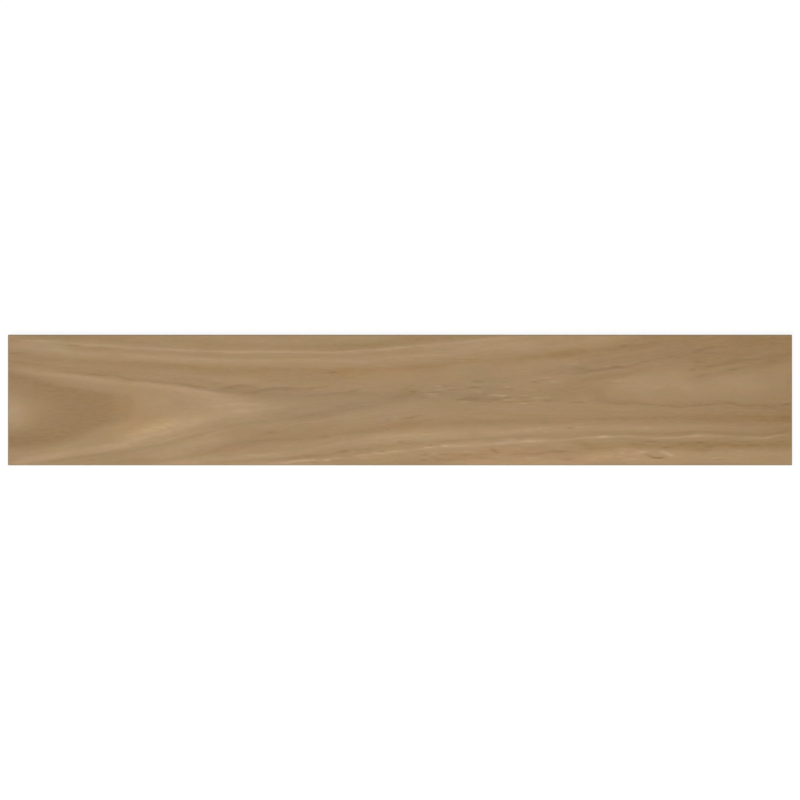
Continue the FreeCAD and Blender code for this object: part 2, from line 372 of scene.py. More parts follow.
        "grey under the wave": (0.1, 1.6, 2, [
            (360, -63, 0), (380, -63, -4), (400, -64.5, -4), (420, -63.5, -3), (450, -65, -3),
            (465, -64, -4), (480, -62.5, 0)]),
        "red brown low": (0.8, 1.7, 2.2, [
            (150, -84, 0), (175, -82.5, -6), (210, -82, -8), (235, -79, -7), (255, -78.5, -5),
            (275, -80.5, -2), (290, -78, 0)]),
        "brown low wash": (1.2, 4.6, 5, [
            (40, -87, 0), (70, -87, -3), (110, -83, -4), (150, -78, -4), (200, -75, -5), (250, -75, -5),
            (300, -74, -3), (340, -74, 0)]),
        "rosy near edge right": (2, 6.5, 9, [
            (60, -97, 0), (110, -97, 9), (180, -94, 9), (240, -94, 8), (290, -93, 8), (320, -89, 8),
            (350, -90, 7), (400, -94, 7), (440, -91, 5), (500, -90, 5), (560, -93, 4), (602, -94, 2)]),
        "pale near right": (0.5, 7, 6, [
            (330, -81, 0), (350, -82, 5), (380, -81, 6), (410, -83, 8), (440, -83, 5), (500, -82, 5),
            (560, -82, 6), (602, -83, 6)]),
        "yellow near right": (1.3, 7, 7, [
            (262, -88, 0), (285, -87, 5), (310, -85, 6), (345, -80, 3), (370, -80, 4), (385, -78, 2)]),
        "red at the near edge": (1, 1.2, 3, [
            (-120, -100, -2), (0, -100, -4), (80, -100, -2), (260, -100, -1), (380, -99, -4),
            (480, -99, -5), (600, -100, -6)]),
        "knot eye": (0, 1.2, 1.4, [
            (368, -82, 0), (378, -84, -4), (384, -86.5, -18), (390, -88, -28), (398, -88, -30),
            (405, -88, -9), (414, -87.5, 0)]),
        "knot lid": (0.2, 1.1, 1.3, [
            (366, -80, 0), (374, -82.5, -6), (380, -85, -9), (384, -85.5, -11), (388, -86.5, 0)]),
        "pale by the knot": (0.5, 2, 2, [
            (392, -79.5, 0), (403, -80, 9), (412, -83, 12), (418, -86, 8), (424, -88, 0)]),
        "bulge of the olive": (0.7, 3.2, 3, [
            (430, -72, -2), (450, -76, -5), (466, -77.5, -8), (480, -75, -3), (490, -74, 0)]),
    },
    # which of them lean to olive above 0, or to rose below it
    "olive": {
        "olive under the white line": 3.4, "slate streak": 3, "white line": 2.4, "yellow streak": 1.6,
        "yellow core": 1.4, "far strip": 0.8, "slate line": 0.8, "ground of the flecks": 0.5,
        "grey low line": 0.8, "brown run rising": 0.3, "brown band left": 0.8, "brown band right": 0.8,
        "brown far right": 0.8, "yellow far corner": 0.8, "rosy near edge left": -2.6,
        "rosy near edge right": -0.6, "pale band right": -1, "upper pale arc": -0.5,
    },
    # soft patches: x, y, reach along and across, rise per mm along, level, hue
    "patches": {
        "core of the cathedral": (-600, -11, 33, 30, 0, 15, -1.1),
        "low in the core": (-585, -38, 18, 12, 0, 4, -0.7),
        "between core and tongue": (-546, -8, 24, 20, 0, 4, 0.1),
        "red fringe": (-418, -6, 18, 18, 0, -2, 1.2),
        "pale zone": (-332, -4, 75, 22, 0, 7, 0.2),
        "end of the pale zone": (-266, -8, 30, 13, 0, 4, 0.7),
        "shade in the pale zone": (-335, -5, 16, 10, 0, -4, 0),
        "dark blob": (116, 1, 10, 5.5, 0, -8, 0.2),
        "tail of the blob": (97, 0, 10, 1.6, 0, -5, 0),
        "slate fleck": (139, 19, 14, 6, 0, -6, -0.8),
        "olive fleck": (12, 11, 18, 7, 0, -2, 1.2),
        "pale blotch": (376, -42, 8, 3, 0, 3, 0),
        "near edge middle": (-20, -90, 130, 12, 0, 1, 0.3),
        "low slate": (108, -83, 12, 3, 0, 4, -1),
        "low olive": (-40, -88, 30, 5, 0, 4, 1.2),
        "low fleck": (145, -77.5, 6, 1.7, -0.4, -21, 0),
        "fleck in the band": (260, -42.5, 6, 1.2, 0, -16, 0),
        "fleck near the brown": (20, -26, 13, 1.5, 0.2, -13, 0.7),
        "fleck far left": (-198, -49.5, 7, 1.5, 0, -9, 0),
        "fleck by the umber": (-116, -56, 10, 1.3, 0, -8, 0),
        "spot over the knot": (448, 46, 6, 2.2, 0, -9, 0),
        "spot at the far edge": (343, 82.5, 5, 2, 0, -8, 0.4),
        "grey low fleck": (273, -4, 12, 1.5, 0, -7, -0.8),
        "dark in the olive": (283, -67, 10, 4, -0.1, -5, 0.6),
        # broad washes
        "right end": (610, -28, 120, 60, 0, -8, 0),
        "far right": (390, 85, 100, 24, 0, -6, 0.4),
        "far right end": (520, 66, 100, 22, 0, -6, 0),
        "right half": (470, 10, 170, 90, 0, -2, 0),
        "under the cathedral": (-360, -58, 75, 22, 0.3, 8, 0.3),
        "tip of the cathedral": (-232, -16, 42, 18, 0, 7, -0.5),
        "lower middle": (110, -66, 180, 19, 0, 6, 0.3),
        "near edge left": (-190, -93, 65, 11, 0, 5, 0.4),
        "near edge far left": (-345, -90, 45, 12, 0, 6, 0.3),
        "round the core": (-590, -22, 50, 25, 0, 8, 0),
        "shade on the upper arm": (-590, 48, 65, 11, -0.27, -8, 0),
        "far edge left": (-260, 88, 270, 13, 0, 4, -0.5),
        "cool middle": (-110, -10, 130, 27, 0, 0, -1.7),
        "cool flecks": (95, 8, 85, 24, 0, 0, -1.4),
        "warm wedge": (-395, -22, 48, 32, 0, 0, 2.2),
        "warm fork": (10, -42, 32, 9, 0, 0, 2),
        "warm near edge": (130, -84, 190, 17, 0, 0, 1.5),
        "warm near edge right": (430, -77, 150, 17, 0, 0, 1),
        "warm right end": (570, -32, 80, 12, 0, 0, 1),
        "warm brown band": (-20, 46, 75, 13, 0, 0, 0.9),
        "warm far edge": (285, 92, 80, 9, 0, 0, 0.6),
        "shade under the core": (-585, -60, 45, 12, 0, -5, 0),
        "glow in the middle": (-50, -35, 75, 21, 0.2, 3, 0),
    },
    # short flecks: x, y, half length, half height, level
    "flecks": [
        # in the brown and the grey of the left half
        (-112, 48, 7, 1.1, 7), (-103, 42, 7, 1.3, -13), (-174, -8, 12, 4, 4), (16, 11, 13, 7, -3),
        (17, 22, 8, 1.8, -4), (8, 15.5, 10, 1.5, -5), (22, 13, 7, 1.4, -7), (18, 7, 9, 1.8, -6),
        (33, 3.5, 8, 1.2, -7),
        # first group in the middle
        (59, 21.5, 6, 1.2, 14), (61, 16, 9, 1.1, 13), (69, 21.5, 7, 1.8, -7), (77, 18, 7, 1, 9),
        (81, 16, 6, 1, -6), (49, 9.5, 8, 1.3, 13), (52, 12, 8, 1, -8), (51, 5.5, 6, 1.1, 9),
        # second group
        (115, 19, 9, 1.7, -15), (120, 28, 8, 1.2, -6), (114, 15, 6, 1, 8), (120, 12.5, 6, 1.1, 10),
        (98, 1, 8, 1.3, -9), (103, 2.5, 18, 2.5, -5), (98, -3, 6, 1.1, 6), (132, 9.5, 7, 0.9, -10),
        (141, 7.5, 8, 1.3, 14), (155, 6.5, 10, 1.4, 19), (163, 4, 8, 1.1, -13), (145, 1, 10, 1.5, -10),
        (133, -2.5, 8, 1.2, -7), (164, 20.5, 6, 1.4, 10), (167, 16.5, 7, 1.3, -9), (166, -0.5, 7, 1.1, 12),
        (166, -3, 7, 1.1, -10), (154, 37, 8, 1.3, 5),
        # third group
        (188, 6, 7, 1, 12), (188, 4, 7, 1, -10), (190, -5.5, 7, 1, 17), (192, -3.5, 8, 1, -10),
        (193, -7, 7, 1, -7), (201, -10, 9, 1.1, 7), (196, -1.5, 10, 1.4, -7), (211, 3, 8, 1.1, 11),
        (223, 4, 7, 1.1, 8), (229, -0.5, 12, 1.8, -9), (201, 15.5, 8, 1.6, 5), (205, 27.5, 7, 1.5, -10),
        (225, 34, 7, 1.2, 9), (220, 31, 7, 1.3, -7), (237, 28, 7, 1.1, 10), (273, -3, 9, 1.3, -9),
        # in the rises on the right
        (275, 47.5, 16, 2.7, -5), (264, 55, 8, 1.6, 6), (329, 50.5, 20, 2.2, -6), (317, 51.5, 5, 0.9, 11),
        (478, 72, 22, 2.2, -6), (455, 58, 7, 1.4, -9), (530, 65, 11, 1, 7), (568, 59, 11, 4.5, -5),
        (510, 47, 10, 1.8, -6), (440, 19, 11, 6, 5), (332, 29.5, 13, 1.7, 7), (395, 19.5, 9, 1.4, 8),
        # curls along the near edge
        (-217, -84.5, 14, 2.5, 3), (-139, -85.5, 13, 1.7, -6), (-162, -88.5, 10, 1.5, -5),
        (-144, -91.5, 10, 1.4, 6), (-132, -91.5, 5, 1.2, 8), (-131, -95, 6, 1.3, -8),
        (-112, -91.5, 6, 1.1, 10), (-115, -95.5, 6, 1, 9), (-117, -93.5, 6, 0.9, -7),
        (-96, -89, 9, 1.2, 10), (-87, -78.5, 9, 1.7, -8), (-73, -87.5, 5, 1, -11), (-68, -85.5, 6, 1.2, 7),
        (-56, -83.5, 8, 1.4, 10), (-64, -76.5, 6, 1.3, -8), (-55, -88, 7, 2, 5), (-49, -75, 6, 1.3, -6),
        (-38, -79.5, 6, 1.3, 10), (-30, -81.5, 6, 1.2, 8), (-28, -79, 5, 1, -8), (-28, -70, 10, 1.4, -5),
        (-10, -79, 8, 1.3, 10), (4, -78, 5, 1.8, 6), (-4, -76.5, 6, 1, 6), (0, -64.5, 6, 1.8, -8),
        (14, -66, 7, 1.3, -6), (29, -68.5, 6, 1.3, -7), (43, -72.5, 6, 1.2, 17), (46, -69, 5, 1.3, -12),
        (38, -83.5, 6, 1.3, -11), (38, -88, 6, 1, 10), (38, -92, 8, 1, -8), (52, -83.5, 5, 1.1, 9),
        (59, -86.5, 5, 1.1, 9), (52, -87.5, 5, 1, -9), (60, -91.5, 7, 1.1, -11), (66, -83, 6, 1.2, -6),
        (81, -62.5, 9, 1.2, -7), (76, -91.5, 7, 1.4, -6), (103, -79.5, 9, 1.1, 7), (102, -84, 8, 1.2, -10),
        (125, -88, 10, 1.2, -9), (183, -59.5, 6, 1.6, -12), (180, -75.5, 8, 1, 9), (203, -88.5, 10, 1.2, 8),
        (218, -69, 9, 1.3, -5), (243, -79, 8, 1.8, -8), (257, -91, 7, 1.6, -14),
        # round the knot
        (311, -56, 7, 1.6, 8), (356, -66.5, 6, 2, -7), (370, -68, 6, 1.3, -10), (385, -63.5, 7, 1.2, -9),
        (366, -74, 5, 1.1, -9), (344, -75.5, 8, 1.4, 8), (339, -80, 5, 2.4, 7), (350, -79.5, 8, 3.5, -4),
        (372, -79, 8, 1.8, 9), (339, -87.5, 8, 1, 8), (347, -86, 6, 1, -7), (350, -91, 12, 1.1, 7),
        (379, -84, 5, 1.1, -6), (403, -78.5, 6, 1.5, 8), (413, -84, 5, 1.7, 13), (405, -72.5, 7, 1.4, -8),
        (434, -67.5, 9, 2.2, -6), (458, -65.5, 7, 1.7, -7), (474, -71, 8, 1, -10), (459, -75, 9, 2.8, -4),
        (455, -83, 7, 1.1, 8), (482, -89, 6, 1.1, 8), (489, -90.8, 9, 1.2, -11), (479, -86.5, 5, 1, -7),
        (526, -64, 14, 1, -6), (539, -69.5, 6, 1.1, -6), (549, -75.5, 6, 1.1, -8), (522, -78, 7, 1.2, 6),
        (378, -44, 6, 1.3, 6), (452, -55.5, 7, 1.5, 6),
    ],
    # edge between the dark tongue of the cathedral and the pale arcs round it, and how dark it is
    "tongueTop": [
        (-600, 44), (-575, 38), (-550, 31), (-500, 20), (-450, 13), (-430, 11), (-410, 6), (-398, -2),
        (-392, -9)],
    "tongueBottom": [
        (-600, -77), (-570, -76), (-540, -72), (-500, -62), (-460, -46), (-440, -39), (-420, -34),
        (-408, -27), (-396, -14), (-392, -9)],
    "tongueLevel": -12,
    "tongueEdges": [(-4, 7), (-6, 11)],  # mm into the tongue where its top and bottom start and are full
    "tongueEnd": [(0.55, -452, -424), (0.45, -416, -398)],  # shares of it that fade out, from x to x
    # lines that the growth rings follow: ring in mm from the middle of the cathedral, points (x, y)
    "rings": [
        (80, [(-600, 120), (-300, 104), (-100, 104), (0, 112), (200, 135), (600, 170)]),
        (60, [
            (-600, 92), (-500, 88), (-395, 80), (-300, 76), (-100, 74), (-25, 79), (40, 85), (185, 99),
            (260, 108), (400, 122), (600, 138)]),
        (40, [
            (-600, 64), (-500, 61), (-400, 57), (-300, 50), (-100, 47), (0, 52), (160, 64), (240, 73),
            (380, 87), (450, 97), (600, 112)]),
        (22, [
            (-600, 54), (-545, 46), (-480, 41), (-400, 31), (-300, 19), (-60, 17), (0, 17), (60, 21),
            (200, 28), (268, 40), (385, 61), (455, 74), (492, 82), (600, 96)]),
        (16, [
            (-600, 50), (-545, 43), (-480, 38), (-400, 28), (-300, 14), (-250, 12), (-60, 12), (120, 14),
            (200, 18), (330, 32), (385, 40), (450, 45), (500, 54), (600, 70)]),
        (8, [
            (-600, 47), (-550, 40), (-490, 33), (-425, 26), (-365, 21), (-335, 16), (-270, 3), (-240, -4),
            (-210, -8), (-150, -5), (-100, 0), (0, 3), (100, 2), (200, -2), (300, -2), (345, -5),
            (400, -8), (427, -10), (467, -7), (497, -4), (522, -8), (545, -7), (570, -9), (600, -6)]),
        (8, [
            (-600, -97), (-545, -86), (-490, -79), (-430, -70), (-380, -54), (-345, -44), (-285, -26),
            (-230, -12), (-210, -8.5)]),
        (22, [
            (-600, -104), (-540, -97), (-460, -86), (-395, -74), (-345, -64), (-250, -39), (-200, -31),
            (-160, -28), (-95, -17), (-55, -11), (0, -7), (100, -10), (200, -14), (600, -17)]),
        (40, [
            (-600, -125), (-470, -100), (-400, -94), (-320, -84), (-240, -68), (-150, -57), (0, -39),
            (50, -34), (300, -28), (600, -28)]),
        (52, [
            (-600, -150), (-400, -108), (-320, -96), (-170, -82), (-100, -70), (-20, -57), (60, -52),
            (255, -43), (350, -41), (600, -42)]),
        (64, [
            (-600, -175), (-400, -130), (-200, -104), (-75, -88), (64, -70), (195, -63), (262, -60),
            (348, -55), (390, -58), (455, -55), (492, -54), (535, -58), (600, -54)]),
        (90, [(-600, -215), (-300, -150), (-100, -120), (0, -108), (100, -100), (300, -98), (600, -98)]),
    ],
    "heart": (5, 6),  # the two lines that close round the heart of the cathedral
    "tip": -212,  # x where they meet
    "tipGap": 0.5,  # mm between them from there on
    "heartRings": 0.09,  # how much a ring shrinks for each mm from the tip
    "fade": 14,  # over how many mm a streak comes and goes
    "runsOff": 590,  # a streak that reaches further out than this runs off the end, with no fade
    "ragged": [(0.9, 26, 7), (0.5, 9, 2.5)],  # mm that the lines waver, over how many along and across
    "relief": 0.05,  # deepest that the print's dark lines are pressed into the face
    "pressed": (0.4, 0.45, -0.02),  # share of it: all over, by the relief's waves, and for each level
    "waves": (210, 4, 300),  # mm along, of rings, and across that a wave of the relief takes
    "rim": 6,  # mm beside the edge over which the relief dies away
}


# A smooth curve through the points, read at x. Its slope at a point lies between those beside it.
def smoothLine(points, x):
    table = np.array(points, float)
    px, py = table[:, 0], table[:, 1:]
    step = np.diff(px)[:, None]
    slope = np.diff(py, axis=0) / step
    inner = (slope[1:] * step[:-1] + slope[:-1] * step[1:]) / (step[1:] + step[:-1])
    tangent = np.vstack([slope[:1], inner, slope[-1:]])
    i = np.clip(np.searchsorted(px, x) - 1, 0, len(step) - 1)
    s = step[i]
    t = np.clip((x - px[i])[:, None] / s, 0, 1)
    start = (1 + 2 * t) * (1 - t) ** 2 * py[i] + t * (1 - t) ** 2 * s * tangent[i]
    return start + t * t * (3 - 2 * t) * py[i + 1] + t * t * (t - 1) * s * tangent[i + 1]


def soft(low, high, value):  # 0 under low, 1 over high, with a soft step between
    t = np.clip((value - low) / (high - low), 0, 1)
    return t * t * (3 - 2 * t)


def paintGrain(x, y):  # level, hue and olive of the print at points of the face
    level, hue, olive = np.zeros_like(x), np.zeros_like(x), np.zeros_like(x)
    fade, runsOff = grain["fade"], grain["runsOff"]
    for name, (tint, above, below, points) in grain["streaks"].items():
        first, last = points[0][0], points[-1][0]
        near = (x >= first) & (x <= last)
        columns, which = np.unique(x[near], return_inverse=True)
        line, strength = smoothLine(points, columns)[which].T
        off = y[near] - line
        shape = np.exp(-((off / np.where(off > 0, above, below)) ** 2))
        if first > -runsOff:
            shape *= soft(first, first + fade, x[near])
        if last < runsOff:
            shape *= 1 - soft(last - fade, last, x[near])
        level[near] += strength * shape
        share = np.abs(strength) / max(abs(point[2]) for point in points) * shape
        hue[near] += tint * share
        olive[near] += grain["olive"].get(name, 0) * share
    for px, py, along, across, rise, value, tint in grain["patches"].values():
        shape = np.exp(-(((x - px) / along) ** 2) - (((y - py - rise * (x - px)) / across) ** 2))
        level += value * shape
        hue += tint * shape
    for px, py, along, across, value in grain["flecks"]:
        level += value * np.exp(-(((x - px) / along) ** 2) - (((y - py) / across) ** 2))
    columns, which = np.unique(x, return_inverse=True)
    top = smoothLine(grain["tongueTop"], columns)[which, 0]
    bottom = smoothLine(grain["tongueBottom"], columns)[which, 0]
    topEdge, bottomEdge = grain["tongueEdges"]
    tongue = soft(*topEdge, top - y) * soft(*bottomEdge, y - bottom)
    kept = np.ones_like(x)
    for share, start, end in grain["tongueEnd"]:
        kept -= share * soft(start, end, x)
    tongue *= kept
    return level + grain["tongueLevel"] * tongue, hue, olive


def ringAt(x, y):  # growth ring at points of the face, in mm
    columns = np.unique(x)
    values = np.array([value for value, points in grain["rings"]], float)
    lines = np.array([smoothLine(points, columns)[:, 0] for value, points in grain["rings"]])
    top, bottom = grain["heart"]
    lines[bottom] = np.where(columns > grain["tip"], lines[top] - grain["tipGap"], lines[bottom])
    ring = np.zeros_like(x)
    for column, line in zip(columns, lines.T):
        here = x == column
        ring[here] = np.interp(y[here], line[::-1], values[::-1])
        fromTip = grain["tip"] - column
        if fromTip > 0:
            away = np.abs(y[here] - (line[top] + line[bottom]) / 2) / ((line[top] - line[bottom]) / 2)
            inside = values[top] - grain["heartRings"] * fromTip * (1 - away ** 2)
            ring[here] = np.where(away < 1, inside, ring[here])
    return ring


def numbersOf(items, name):  # x, y and z of each item, in mm
    found = np.empty(len(items) * 3, np.float32)
    items.foreach_get(name, found)
    return found.reshape(-1, 3).astype(float) * 1000


def pressIn(slab, points, depth):  # lowers points of the face by shares of the relief
    pressed = slab.vertex_groups.new(name="pressed")
    for i, weight in zip(points.tolist(), depth.tolist()):
        pressed.add([i], weight, "REPLACE")
    selectOnly(slab)
    press = slab.modifiers.new("press", "DISPLACE")
    press.direction = "Z"
    press.mid_level = 0
    press.strength = -grain["relief"] / 1000
    press.vertex_group = pressed.name
    bpy.ops.object.modifier_apply(modifier=press.name)
    slab.vertex_groups.clear()


# Paints the grain on the face's points, and presses its dark lines in a little
def printGrain(slab, length, width):
    mesh = slab.data
    x, y, z = np.round(numbersOf(mesh.vertices, "co"), 3).T
    face = np.flatnonzero(z > plank["edge"][0][1] - plank["slack"])
    x, y = x[face], y[face]
    waver = np.zeros_like(x)
    for far, along, across in grain["ragged"]:
        waver += [far * noise.noise(Vector((px / along, py / across, far))) for px, py in zip(x, y)]
    level, hue, olive = paintGrain(x, y + waver)
    ring = ringAt(x, y)
    for name, values in {"Level": level, "Hue": hue, "Olive": olive, "Ring": ring}.items():
        spread = np.zeros(len(mesh.vertices), np.float32)
        spread[face] = values
        mesh.attributes.new("grain" + name, "FLOAT", "POINT").data.foreach_set("value", spread)

    along, rings, across = grain["waves"]
    places = zip(x / along, ring / rings, y / across)
    waves = np.array([noise.noise(Vector(place)) for place in places])
    rim = soft(0, grain["rim"], width / 2 - np.abs(y)) * soft(0, grain["rim"], length / 2 - np.abs(x))
    allOver, byWaves, byLevel = grain["pressed"]
    depth = np.clip((allOver + byWaves * waves + byLevel * level) * rim, 0, 1)
    pressIn(slab, face, depth)


# Print on the face, ground body on the edge, raw body on the back
def dressPlank(slab, length, width, materials):
    mesh = slab.data
    mesh.materials.clear()
    for material in materials:
        mesh.materials.append(material)
    x, y, z = numbersOf(mesh.polygons, "center").T
    up = numbersOf(mesh.polygons, "normal")[:, 2] / 1000
    foot = plank["edge"][-1][0]
    lowest = plank["edge"][0][1] - grain["relief"] - plank["slack"]
    deepest = sum(rise for run, rise in plank["recessWall"]) + plank["slack"]
    slots = np.ones(len(z), np.int32)
    slots[(z > lowest) & (up > plank["facesUp"])] = 0
    slots[(z < deepest) & (np.abs(x) < length / 2 - foot) & (np.abs(y) < width / 2 - foot)] = 2
    mesh.polygons.foreach_set("material_index", slots)
    selectOnly(slab)
    bpy.ops.object.shade_smooth_by_angle(angle=math.radians(plank["smoothUnder"]))


def linear(hexColour):  # sRGB hex to linear RGBA
    parts = [int(hexColour[i:i + 2], 16) / 255 for i in (1, 3, 5)]
    parts = [part / 12.92 if part <= 0.04045 else ((part + 0.055) / 1.055) ** 2.4 for part in parts]
    return (*parts, 1.0)


# Adds a node with its settings. An input is given a value, or a socket or node to link it to, and a
# colour ramp is given its stops as positions and hex colours.
def addNode(tree, kind, inputs, stops=(), **settings):
    added = tree.nodes.new("ShaderNode" + kind)
    for key, value in settings.items():
        setattr(added, key, value)
    for key, value in inputs.items():
        if isinstance(value, bpy.types.Node):
            value = next(socket for socket in value.outputs if socket.enabled)
        if isinstance(value, bpy.types.NodeSocket):
            tree.links.new(value, added.inputs[key])
        else:
            added.inputs[key].default_value = value
    for number, (position, colour) in enumerate(stops):
        if number >= len(added.color_ramp.elements):
            added.color_ramp.elements.new(1)
        added.color_ramp.elements[number].position = position
        added.color_ramp.elements[number].color = linear(colour)
    return added


def emptyMaterial(name):
    material = bpy.data.materials.new(name)
    material.use_nodes = True
    material.node_tree.nodes.clear()
    return material, material.node_tree


# Ends a material: bumps of a strength and a depth in mm, then the shader and the output
def finishSurface(tree, bump, height, inputs):
    strength, depth = bump
    bumps = addNode(tree, "Bump", {"Height": height, "Strength": strength, "Distance": depth / 1000})
    shader = addNode(tree, "BsdfPrincipled", {"Normal": bumps, **inputs})
    addNode(tree, "OutputMaterial", {"Surface": shader})


glaze = {
    # noise drawn out along the grain: mm along it, mm across it, what it follows across,
    # how much it changes from row to row, detail
    "noises": {
        "rings": (120, 7, "ring", 9, 2),  # growth rings, about 7 mm apart
        "lines": (45, 3, "ring", 14, 2),  # late wood lines, about 3 mm apart
        "fibres": (22, 0.6, "ring", 20, 2),
        "fine fibres": (12, 0.3, "y", 3, 1),
        "pores": (7, 0.3, "y", 0, 1),
        "broken": (16, 4, "y", 0, 1),  # painted lines swell and fade every 16 mm
        "warmth": (50, 12, "y", 3, 1),
        "olive": (60, 14, "y", 5, 1),
    },
    "levels": {"rings": 4.8, "lines": 4.5, "fibres": 3.6, "fine fibres": 9},  # how far each one reaches
    "poreLevel": -12,
    "poreFrom": (0.64, 0.71),  # the noise that a pore starts at and is full at
    "broken": (0.55, 1.45),  # weakest and strongest share of a painted line
    "sway": (2, 71.4, 1),  # mm that the rings wander, over how many mm, detail
    "calm": (4, 18, 0.3),  # rings between which the wood's own lines come up, and what shows before
    "mottle": {"Hue": ("warmth", 2.8), "Olive": ("olive", 3.5)},
    "toneReach": 24,  # levels from the middle tone to either end of the tones
    "hueReach": 3.8,
    "coolTones": ["#806641", "#8E7451", "#9C8361", "#AA9171", "#B89F81"],
    "warmTones": ["#886537", "#967347", "#A48257", "#B29067", "#C09E77"],
    "rose": (1.027, 0.956, 1.044, 1),
    "olive": (0.973, 1.044, 0.956, 1),
    "roughness": (0.5, 0.6),
    "ior": 1.5,
    "poreDip": -0.6,  # how deep a pore is beside a fibre's height
    "bump": (0.5, 0.1),  # strength, depth in mm
}


# Porcelain stoneware, inkjet printed and covered with a matte glaze: the picture of the wood lies
# sharp and flat under a dull silky film with no clear reflections.
def mattePrintedGlaze():
    material, tree = emptyMaterial("matte printed glaze")
    place = addNode(tree, "TexCoord", {}).outputs["Object"]
    axes = addNode(tree, "SeparateXYZ", {"Vector": place}).outputs
    painted = {}
    for name in ("Level", "Hue", "Olive", "Ring"):
        painted[name] = addNode(tree, "Attribute", {}, attribute_name="grain" + name).outputs["Fac"]
    reach, every, detail = glaze["sway"]
    wander = addNode(tree, "TexNoise", {"Vector": place, "Scale": 1000 / every, "Detail": detail})
    sway = addNode(tree, "MapRange", {"Value": wander, "To Min": -reach, "To Max": reach})
    ring = addNode(tree, "Math", {0: painted["Ring"], 1: sway}, operation="ADD")
    follow = {"y": (axes["Y"], 1000), "ring": (ring, 1)}  # y is in metres, the rings are in mm

    noises = {}
    for name, (along, across, followed, drift, detail) in glaze["noises"].items():
        run, unit = follow[followed]
        spot = addNode(tree, "CombineXYZ", {
            "X": addNode(tree, "Math", {0: axes["X"], 1: 1000 / along}, operation="MULTIPLY"),
            "Y": addNode(tree, "Math", {0: run, 1: unit / across}, operation="MULTIPLY"),
            "Z": addNode(tree, "Math", {0: axes["Y"], 1: drift}, operation="MULTIPLY"),
        })
        noises[name] = addNode(tree, "TexNoise", {"Vector": spot, "Scale": 1, "Detail": detail})

    weakest, strongest = glaze["broken"]
    broken = addNode(tree, "MapRange", {"Value": noises["broken"], "To Min": weakest, "To Max": strongest})
    shade = addNode(tree, "Math", {0: painted["Level"], 1: broken}, operation="MULTIPLY")
    plain, full, least = glaze["calm"]  # the heart of the cathedral has hardly any lines
    calm = addNode(
        tree, "MapRange", {"Value": painted["Ring"], "From Min": plain, "From Max": full, "To Min": least},
        interpolation_type="SMOOTHSTEP",
    )
    for name, reach in glaze["levels"].items():
        part = addNode(tree, "MapRange", {"Value": noises[name], "To Min": -reach, "To Max": reach})
        if glaze["noises"][name][2] == "ring":
            part = addNode(tree, "Math", {0: part, 1: calm}, operation="MULTIPLY")
        shade = addNode(tree, "Math", {0: shade, 1: part}, operation="ADD")
    start, whole = glaze["poreFrom"]
    pores = addNode(
        tree, "MapRange", {"Value": noises["pores"], "From Min": start, "From Max": whole},
        interpolation_type="SMOOTHSTEP",
    )
    shade = addNode(tree, "Math", {0: pores, 1: glaze["poreLevel"], 2: shade}, operation="MULTIPLY_ADD")

    reach = glaze["toneReach"]
    tone = addNode(tree, "MapRange", {"Value": shade, "From Min": -reach, "From Max": reach})
    ramps = []
    for tones in (glaze["coolTones"], glaze["warmTones"]):
        stops = [(i / (len(tones) - 1), colour) for i, colour in enumerate(tones)]
        ramps.append(addNode(tree, "ValToRGB", {"Fac": tone}, stops=stops))
    leans = []
    for mark, (name, reach) in glaze["mottle"].items():
        mottle = addNode(tree, "MapRange", {"Value": noises[name], "To Min": -reach, "To Max": reach})
        lean = addNode(tree, "Math", {0: painted[mark], 1: mottle}, operation="ADD")
        most = glaze["hueReach"]
        leans.append(addNode(tree, "MapRange", {"Value": lean, "From Min": -most, "From Max": most}))
    wood = addNode(tree, "Mix", {"Factor": leans[0], "A": ramps[0], "B": ramps[1]}, data_type="RGBA")
    cast = addNode(
        tree, "Mix", {"Factor": leans[1], "A": glaze["rose"], "B": glaze["olive"]}, data_type="RGBA"
    )
    colour = addNode(
        tree, "Mix", {"Factor": 1, "A": wood, "B": cast}, data_type="RGBA", blend_type="MULTIPLY"
    )

    silky, dull = glaze["roughness"]
    roughness = addNode(tree, "MapRange", {"Value": noises["fibres"], "To Min": silky, "To Max": dull})
    height = addNode(
        tree, "Math", {0: pores, 1: glaze["poreDip"], 2: noises["fibres"]}, operation="MULTIPLY_ADD"
    )
    finishSurface(
        tree, glaze["bump"], height, {"Base Color": colour, "Roughness": roughness, "IOR": glaze["ior"]}
    )
    return material


body = {
    "grit": 0.6,  # mm, coarser than the real 0.1 so that it shows
    "gritNoise": {"Detail": 3, "Roughness": 0.6},
    "wheelMarks": (25, 25, 0.25),  # mm along x, y and z
    "markDetail": 2,
    "marksShare": 0.5,
    "toneFrom": (0.3, 0.7),  # the noise that is all dark and all pale
    "darkBody": "#83725B",
    "paleBody": "#98876E",
    "glazeLip": "#8A7352",
    "lipFrom": (8.6, 8.9),  # height in mm where the glaze over the arris starts and is full
    "lip": 0.8,
    "roughness": 0.72,
    "bump": (0.3, 0.05),  # strength, depth in mm
}


